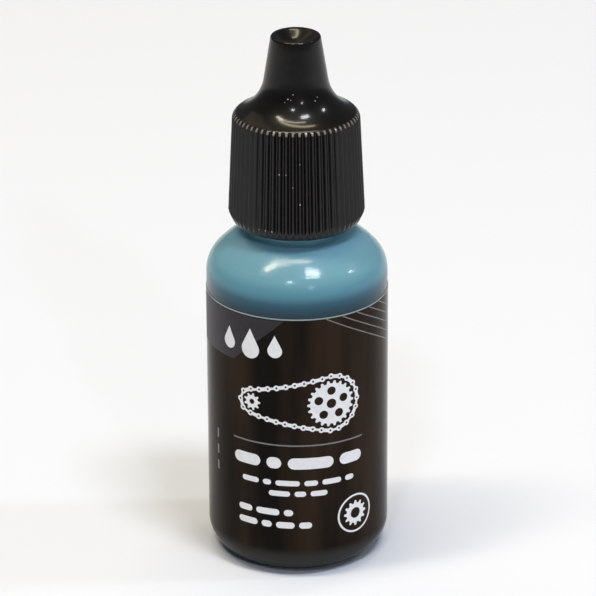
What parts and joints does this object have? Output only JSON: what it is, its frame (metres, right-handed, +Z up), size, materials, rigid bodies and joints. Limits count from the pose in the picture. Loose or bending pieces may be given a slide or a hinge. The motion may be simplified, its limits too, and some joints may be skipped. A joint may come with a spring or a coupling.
{
  "type": "chain lube bottle",
  "caption": "Small cylindrical squeeze bottle with a pressed-in dropper nozzle, a shrunk label sleeve and a ribbed, spouted screw cap.",
  "frame": {"origin": "centre of the ring that the bottle stands on, on the table's surface", "axes": "+Z up along the bottle's axis; -Y is the front that the picture shows, +Y the side with the label's seam"},
  "size_m": [0.025, 0.0251, 0.0751],
  "materials": {
    "bottle_resin": "satin",
    "tip_resin": "satin",
    "cap_resin": "gloss",
    "label_film": "gloss",
    "lube_liquid": "gloss"
  },
  "bodies": {
    "flask": {"bottle": "bottle_resin", "dropper_tip": "tip_resin", "label": "label_film", "lube": "lube_liquid"},
    "closure": {"cap": "cap_resin"}
  },
  "joints": [
    {"name": "cap_lift", "type": "slide", "parent": "flask", "child": "closure", "axis": [0, 0, 1], "range_m": [0, 0.027]}
  ]
}
